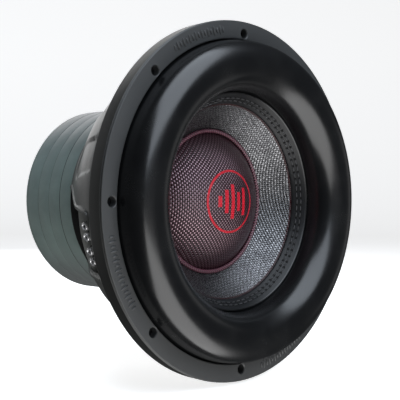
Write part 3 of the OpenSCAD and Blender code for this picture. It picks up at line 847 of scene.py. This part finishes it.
def makeTrim():
    s = trimSizes
    profile = rounded([
        (s["inner"], 9.1, 0.3), (151.8, 9.1), (151.8, 7.1), (156.95, 7.1), (156.95, 0.4),
        (s["outer"] - 0.4, 0.4, 0.4), (s["outer"], 13.6), (s["outer"] - 0.55, 14.1, 0.3),
        (s["outer"] - 0.55, 14.6, 0.3), (s["outer"] - 0.1, 15.1, 0.3), (s["outer"] - 0.8, s["front"], 0.5),
        (s["inner"] + 0.2, s["front"], 1.3)])
    piece = turned("trimRing", profile, finishes["trim"], s["segments"])
    return cutWith(piece, boltDrills([(5, s["hole"]), (s["front"] - 0.8, s["hole"]),
                                      (s["front"] + 0.4, s["hole"] + 1.0)]))


place(makeTrim(), "frame", "trim_rubber", "trim_ring")
place(grown("trimRingBars", barTree(barSizes), barSizes), "frame", "trim_rubber")
print("trim ring made")

# basket
basketSizes = dict(windowFront=38.0, windowRadius=28.0, windowRear=35.0, rear=115.4, wall=4.6,
                   firstWindow=196.1, pocketDepth=1.5, pocketHalf=15.0, pocketSpread=12.5,
                   pocketRear=92.0, pocketFront=30.0, pocketSlope=1.3, rib=1.4, ribWidth=4.5,
                   ribSlope=1.2, ribStart=14.0, edgeRound=1.6, columns=98, reliefFront=29.0,
                   reliefHalf=27.5, reliefCorner=6.0, boltHole=3.2, screwHole=2.7, screwRing=61)
basketLine = [(140, 0), (139, 25), (134, 42), (127, 58), (117, 74), (104, 93), (91, 113), (90.5, 115.4)]


def step(value, low, high):
    t = np.clip((value - low) / (high - low), 0, 1)
    return t * t * (3 - 2 * t)


def windowWidths(depths, squared):  # half of a window's width at each depth
    s = basketSizes
    axis = s["windowFront"] + s["windowRadius"]
    arch = np.sqrt(np.maximum(s["windowRadius"] ** 2 - (axis - depths) ** 2, 0))
    sides = s["windowRadius"] + (s["windowRear"] - s["windowRadius"]) * (depths - axis) / (
        s["rear"] + 4 - axis)
    widths = np.where(depths < s["windowFront"], 0, np.where(depths < axis, arch, sides))
    if squared:  # the terminals' window
        corner = np.clip(s["reliefCorner"] - (depths - s["reliefFront"]), 0, s["reliefCorner"])
        square = s["reliefHalf"] - s["reliefCorner"] + np.sqrt(s["reliefCorner"] ** 2 - corner ** 2)
        widths = np.maximum(widths, np.where(depths <= s["reliefFront"], 0, square))
    return widths


def makeArms():
    s = basketSizes
    axis = s["windowFront"] + s["windowRadius"]
    arc = 1 - np.cos(np.linspace(0, math.pi / 2, 30))
    depths = np.unique(np.round(np.concatenate([
        np.linspace(0, 25, 7), [s["reliefFront"]], s["reliefFront"] + 0.02 + s["reliefCorner"] * arc[::3],
        s["pocketFront"] + np.linspace(-1.6, 1.6, 7), s["windowFront"] + s["windowRadius"] * arc,
        np.linspace(axis, s["rear"], 34)]), 4))
    line = smoothLine(basketLine, 200)
    outerRadius = np.interp(depths, line[:, 1], line[:, 0])
    even = np.linspace(0, 1, s["columns"])
    share = 0.7 * even + 0.3 * (1 - np.cos(math.pi * even)) / 2  # closer together at the edges
    rows, columns = len(depths), s["columns"]
    verts, faces = [], []
    for arm in range(4):
        start = math.radians(s["firstWindow"] + 90 * arm)
        gaps = [windowWidths(depths, arm == own) for own in (0, 3)]
        low, high = [np.arcsin(gap / outerRadius)[:, None] for gap in gaps]
        angles = start + low + (math.pi / 2 - low - high) * share[None, :]
        offMiddle = (angles - start - math.pi / 4) * outerRadius[:, None]
        fromLow = (angles - start - low) * outerRadius[:, None]
        fromHigh = (start + math.pi / 2 - high - angles) * outerRadius[:, None]
        relief = 0
        for away, gap in ((fromLow, gaps[0]), (fromHigh, gaps[1])):
            # a raised rib along each edge of the arm, rounded off at the very edge
            opened = step(gap, 0, s["ribStart"])[:, None]
            relief += s["rib"] * (1 - step(away, s["ribWidth"] - s["ribSlope"], s["ribWidth"])) * opened
            corner = 1 - np.clip(away / s["edgeRound"], 0, 1)
            relief -= s["edgeRound"] * (1 - np.sqrt(1 - corner ** 2)) * opened
        for side in (-1, 1):  # two arched pockets on each arm
            centre = side * math.radians(s["pocketSpread"]) * outerRadius[:, None]
            off = offMiddle - centre
            arch = s["pocketRear"] - s["pocketHalf"]
            beyond = np.maximum(depths[:, None] - arch, 0)
            inside = s["pocketHalf"] - np.hypot(off, beyond)
            inside = np.minimum(inside, depths[:, None] - s["pocketFront"])
            relief -= s["pocketDepth"] * step(inside, -s["pocketSlope"], s["pocketSlope"])
        radius = outerRadius[:, None] + relief
        inner = np.repeat((outerRadius - s["wall"])[:, None], columns, 1)
        first = len(verts)
        for table in (radius, inner):
            for i in range(rows):
                for j in range(columns):
                    verts.append(spot(table[i, j], -depths[i], angles[i, j]))
        count = rows * columns
        faces += gridFaces(rows, columns, False, False, first)
        faces += gridFaces(rows, columns, False, False, first + count)
        for gap, j in zip(gaps, (0, columns - 1)):
            for i in range(int(np.argmax(gap > 0)) - 1, rows - 1):
                a, b = first + i * columns + j, first + (i + 1) * columns + j
                faces.append((a, b, b + count, a + count))
        for i in (0, rows - 1):
            for j in range(columns - 1):
                a = first + i * columns + j
                faces.append((a, a + 1, a + 1 + count, a + count))
    return meshPiece("basketArms", verts, faces, finishes["cast"], 45, merge=2e-6)


def makeBasket():
    s = basketSizes
    parts = [makeArms()]
    flange = turned("flange", rounded([
        (134.9, 7, 0.6), (134.9, 0), (139.9, -2.5, 0.8), (143.5, 0, 2.0), (156.9, 0, 0.8),
        (156.9, 7, 0.4)]), finishes["cast"], 256)
    parts.append(cutWith(flange, boltDrills([(-6, s["boltHole"]), (10, s["boltHole"])])))
    seat = turned("seat", rounded([
        (56, -98.3, 0.6), (78, -98.3, 1.2), (78, -115.4, 0.6), (66.1, -115.4), (66.1, -103.3),
        (56, -103.3, 0.5)]), finishes["cast"], 192)
    screw = [(-110, s["screwHole"]), (-90, s["screwHole"])]
    parts.append(cutWith(seat, [drill(screw, math.radians(60 * i), s["screwRing"], 24) for i in range(6)]))
    parts.append(turned("ledge", rounded([(95, -76, 0.5), (103, -76, 0.6), (103, -80, 1.2), (95, -80, 0.5)]),
                        finishes["cast"], 192))
    for i in range(4):  # the arms' feet on the seat, and the ledge's roots in the arms
        middle = math.radians(s["firstWindow"] + 45 + 90 * i)
        foot = [(77, -115.4), (89, -115.4), (89, -109), (94, -98.3), (77, -98.3)]
        root = [(102, -76), (111, -76), (109, -80), (102, -80)]
        for shape, spread in ((foot, 19.5), (root, 29.0)):
            parts.append(turned("root", rounded([(r, h, 0.5) for r, h in shape], 2), finishes["cast"], 40,
                                start=middle - math.radians(spread), end=middle + math.radians(spread)))
    return joined("basketCasting", parts)


place(makeBasket(), "frame", "cast_metal", "basket")
print("basket cast")

# motor
magnetRings = (("magnetFront", "magnet_front"), ("magnetMiddle", "magnet_middle"),
               ("magnetRear", "magnet_rear"))


def makeMotor():
    s = motorSizes
    for i, (name, node) in enumerate(magnetRings):
        front = -s["depth"] - i * s["magnet"] - 0.05
        back = front - s["magnet"] + 0.1
        outside = s["radius"] - 0.1
        section = rounded([(50, front, 0.5), (outside, front, 0.15), (outside, back, 0.15), (50, back, 0.5)])
        place(turned(name, section, finishes["magnet"], 256, 50), "frame", "motor_coat", node)
    front = -s["end"] + s["plate"] - 0.05
    yoke = turned("backPlateAndPole", rounded([
        (s["radius"], front, 0.15), (s["radius"], -s["end"], 1.4), (s["vent"] + 10, -s["end"], 1.5),
        (s["vent"] + 1, -s["end"] + 8, 1.0), (s["vent"] + 1, -s["end"] + 10), (s["vent"], -s["end"] + 10),
        (s["vent"], -100, 1.5), (s["pole"], -100, 1.0), (s["pole"], front, 1.0)], 6),
        finishes["backPlate"], 256, 50)
    place(yoke, "frame", "steel_coat", "back_plate_and_pole")


def screenTree(sizes):  # crossed wires, each as long as its chord of the vent
    net, given = growTree("ventScreen", sizes)
    line = net.geo("MeshLine", {"Count": given["count"]})
    index = Num(net, net.geo("InputIndex"))
    off = (index - (given["count"] - 1) * 0.5) * given["pitch"]
    spread = net.geo("SetPosition", {"Geometry": line, "Position": combine(net, off, 0.0, 0.0)})
    chord = net.math("SQRT", given["radius"] * given["radius"] - off * off)
    wire = net.geo("MeshCylinder", {"Vertices": 8, "Radius": 1.0, "Depth": 2.0})
    thin = given["wire"] * 0.5
    wires = net.geo("InstanceOnPoints", {
        "Points": spread, "Instance": wire, "Scale": combine(net, thin, thin, chord)})
    other = net.geo("Transform", {
        "Geometry": wires, "Rotation": (0, math.pi / 2, 0),
        "Translation": combine(net, 0.0, given["wire"] * 0.7, 0.0)})
    both = net.node("GeometryNodeJoinGeometry")
    for part in (wires, other):
        net.link(both.inputs[0], part)
    moved = net.geo("Transform", {
        "Geometry": both.outputs[0], "Translation": combine(net, 0.0, given["depth"], 0.0)})
    closeTree(net, moved, finishes["blackSteel"])
    return net


makeMotor()
screenSizes = dict(count=17, pitch=1.7 * mm, radius=14.8 * mm, wire=0.55 * mm, depth=178.0 * mm)
screen = grown("ventScreenWires", screenTree(screenSizes), screenSizes)
place(screen, "frame", "screen_wire", "vent_screen")
print("motor made")

# terminals and leads
terminalSizes = dict(middle=196.1, offsets=(-6.8, -2.7, 2.8, 6.8), depth=43.0, top=132.5, length=4.8,
                     radius=3.5, bore=2.55, floor=123.6, wire=0.42, turns=4.5,
                     coilRadius=3.05, coilSteps=110, air=0.35)
leadSizes = dict(radius=1.0, strands=8, fan=1.2, rings=120, around=24, fixedFrom=108.0, movingFrom=42.0)
leadRoute = [(112.2, -43), (107, -38.5), (100, -34.5), (92, -32.2), (83, -32), (74, -34.2), (65, -38.8),
             (57, -45.2), (50.5, -52), (45.2, -58.4), (39.8, -62.6)]


def outwardFrame(angle):  # the directions outwards, along the axis and round the speaker
    out = np.array([math.cos(angle), 0, math.sin(angle)])
    axial = np.array([0, 1.0, 0])
    return out, axial, np.cross(out, axial)


def radialTurned(name, profile, angle, material, segments=48):  # turned about a radius of the speaker
    out, axial, side = outwardFrame(angle)
    turns = np.linspace(0, 2 * math.pi, segments, endpoint=False)
    verts = [(out * h + (axial * math.cos(t) + side * math.sin(t)) * r
              + np.array([0, terminalSizes["depth"], 0])) * mm for t in turns for r, h in profile]
    return meshPiece(name, verts, gridFaces(segments, len(profile)), material, 40)


def tube(name, centres, radii, material, around=10, twist=0, ripple=0.0):  # a closed tube along points
    centres = np.array(centres, float)
    ways = np.gradient(centres, axis=0)
    ways /= np.linalg.norm(ways, axis=1)[:, None]
    side = np.cross(ways[0], (0.3, 0.9, 0.2))
    verts = []
    for i, (centre, way) in enumerate(zip(centres, ways)):
        side = side - way * (side @ way)
        side = side / np.linalg.norm(side)
        top = np.cross(way, side)
        for j in range(around):
            t = 2 * math.pi * j / around
            rope = 1 + ripple * (math.sin(twist * t + i * 0.9) * math.sin(twist * t - i * 0.9))
            verts.append((centre + (side * math.cos(t) + top * math.sin(t)) * radii * rope) * mm)
    faces = gridFaces(len(centres), around, closedRows=False)
    faces += [tuple(range(around)), tuple(range((len(centres) - 1) * around, len(centres) * around))]
    return meshPiece(name, verts, faces, material, 60)


def makeButton(i, angle):
    s = terminalSizes
    top, low = s["top"], s["top"] - s["length"]
    section = rounded([
        (s["bore"], low, 0.15), (s["radius"], low, 0.25), (s["radius"], top, 0.9), (2.2, top, 0.25),
        (1.9, top - 0.45, 0.15), (1.3, top - 0.45, 0.15), (1.3, top - 1.2), (s["bore"], top - 1.2)], 4)
    button = radialTurned(f"buttonCap{i}", section, angle, finishes["chrome"], 56)
    place(button, f"button_{i}", "chrome", f"terminal_button_{i}")


def makeSpring(i, angle):
    s = terminalSizes
    out, axial, side = outwardFrame(angle)
    low = s["top"] - s["length"]
    coilTop, coilLow = low - s["air"], s["floor"] + s["air"]
    centres = []
    for k in range(s["coilSteps"] + 1):
        t = 2 * math.pi * s["turns"] * k / s["coilSteps"]
        axis = out * (coilLow + (coilTop - coilLow) * k / s["coilSteps"]) + np.array([0, s["depth"], 0])
        centres.append(axis + (axial * math.cos(t) + side * math.sin(t)) * s["coilRadius"])
    spring = tube(f"springCoil{i}", centres, s["wire"] / 2, finishes["zinc"], 6)
    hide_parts(f"terminal_spring_{i}")
    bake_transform(spring)


def makeLead(i, offset):
    s = leadSizes
    route = []
    for k, (radius, height) in enumerate(leadRoute):
        turn = math.radians(terminalSizes["middle"] + offset * (1 + s["fan"] * k / (len(leadRoute) - 1)))
        route.append((radius * math.cos(turn), -height, radius * math.sin(turn)))
    line = smoothLine(route, s["rings"])
    braid = tube(f"tinselBraid{i}", line, s["radius"] * 0.94, finishes["tinsel"],
                 s["around"], s["strands"] // 2, 0.09)
    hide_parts(f"tinsel_lead_{i}")
    blendRound(braid, s["fixedFrom"], s["movingFrom"])


for i, offset in enumerate(terminalSizes["offsets"], 1):
    angle = math.radians(terminalSizes["middle"] + offset)
    makeButton(i, angle)
    makeSpring(i, angle)
    makeLead(i, offset)
print("terminals made")

# finishes of the frame's own nodes
nodeFinish = {
    "cap_glue_bead": "glue", "neck_glue_ring": "glue", "voice_coil_former": "former",
    "voice_coil_inner_layer": "wire", "voice_coil_outer_layer": "wire", "spider_spacer": "plastic",
    "top_plate": "steel", "shorting_ring": "aluminium", "motor_screws": "blackSteel",
    "terminal_panel": "panel", "panel_screws": "zinc", "terminal_block_a": "plastic",
    "terminal_block_b": "plastic", "lead_pads": "solder",
}
nodeFinish.update({f"terminal_post_{i}": "brass" for i in range(1, 5)})
for node, finish in nodeFinish.items():
    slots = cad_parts[node].data.materials
    if not slots:
        slots.append(finishes[finish])
    for i in range(len(slots)):
        slots[i] = finishes[finish]

# floor, light and camera
stageSizes = dict(floor=-0.1625, width=3.0, bend=0.9, wall=4.5, segments=96)


def makeFloor():  # a wide dish, so that every side of the speaker is seen against it
    s = stageSizes
    line = [(0.001, s["floor"]), (1.0, s["floor"])]
    line += [(s["width"] + s["bend"] * math.sin(t), s["floor"] + s["bend"] * (1 - math.cos(t)))
             for t in np.linspace(0, math.pi / 2, 14)]
    line += [(s["width"] + s["bend"], s["wall"])]
    turns = np.linspace(0, 2 * math.pi, s["segments"], endpoint=False)
    verts = [(r * math.cos(t), r * math.sin(t), h) for t in turns for r, h in line]
    faces = [f[::-1] for f in gridFaces(s["segments"], len(line), closedColumns=False)]
    pale = Finish("paleFloor", (0.8, 0.8, 0.8), 0.6, Emission_Color=(1, 1, 1, 1), Emission_Strength=0.75)
    floor = bpy.data.meshes.new("paleFloor")
    floor.from_pydata(verts, [], faces)
    floor.shade_smooth()
    floor.materials.append(pale.material)
    stage = bpy.data.objects.new("paleFloor", floor)
    scene.collection.objects.link(stage)
    # the low light shines through the floor, which brightens nothing but itself
    stage.visible_shadow = stage.visible_glossy = stage.visible_diffuse = False


def softLight(name, place, size, power, tint=(1, 1, 1), aim=(0, 0.03, 0)):
    lamp = bpy.data.lights.new(name, "AREA")
    lamp.shape, lamp.size, lamp.size_y = "RECTANGLE", size[0], size[1]
    lamp.energy, lamp.color = power, tint
    light = bpy.data.objects.new(name, lamp)
    light.location = place
    light.visible_camera = False
    light.rotation_euler = (Vector(aim) - Vector(place)).to_track_quat("-Z", "Y").to_euler()
    scene.collection.objects.link(light)


cameraSizes = dict(azimuth=-46.72, elevation=0.47, roll=0.52, distance=0.81464, lens=81.29,
                   shift=(-0.0748, 0.0037))


def makeCamera():
    s = cameraSizes
    azimuth, elevation, roll = [math.radians(s[key]) for key in ("azimuth", "elevation", "roll")]
    back = Vector((math.sin(azimuth) * math.cos(elevation), -math.cos(azimuth) * math.cos(elevation),
                   math.sin(elevation)))
    data = bpy.data.cameras.new("camera")
    data.sensor_width, data.lens = 36.0, s["lens"]
    data.shift_x, data.shift_y = s["shift"]
    data.clip_start, data.clip_end = 0.05, 50
    camera = bpy.data.objects.new("camera", data)
    camera.location = back * s["distance"]
    turn = (-back).to_track_quat("-Z", "Y").to_matrix()
    camera.rotation_euler = (turn @ Matrix.Rotation(roll, 3, "Z")).to_euler()
    scene.collection.objects.link(camera)
    scene.camera = camera


makeFloor()
makeCamera()
world = bpy.data.worlds.new("paleRoom")
scene.world = world
world.use_nodes = True
glow = world.node_tree.nodes["Background"].inputs
glow["Color"].default_value = (0.9, 0.95, 1.0, 1)
glow["Strength"].default_value = 0.05
lights = {
    "topBox": dict(place=(-0.19, -0.62, 1.11), size=(1.55, 2.1), power=42.0, tint=(0.82, 0.9, 1.0),
                   aim=(-0.3, 0.14, 0.19)),
    "lowBox": dict(place=(-0.17, -0.72, -0.97), size=(1.6, 1.9), power=34.0, aim=(-0.24, 0.12, -0.13)),
    "sideBox": dict(place=(1.1, -0.4, -0.06), size=(0.35, 0.6), power=0.25),
    "backBox": dict(place=(0.6, 1.5, 0.7), size=(1.2, 1.2), power=9.0),
    "leftBox": dict(place=(-0.42, 1.6, 0.15), size=(0.8, 1.4), power=2.0),
}
for name, values in lights.items():
    softLight(name, **values)
scene.view_settings.view_transform = "Standard"
print("lit")
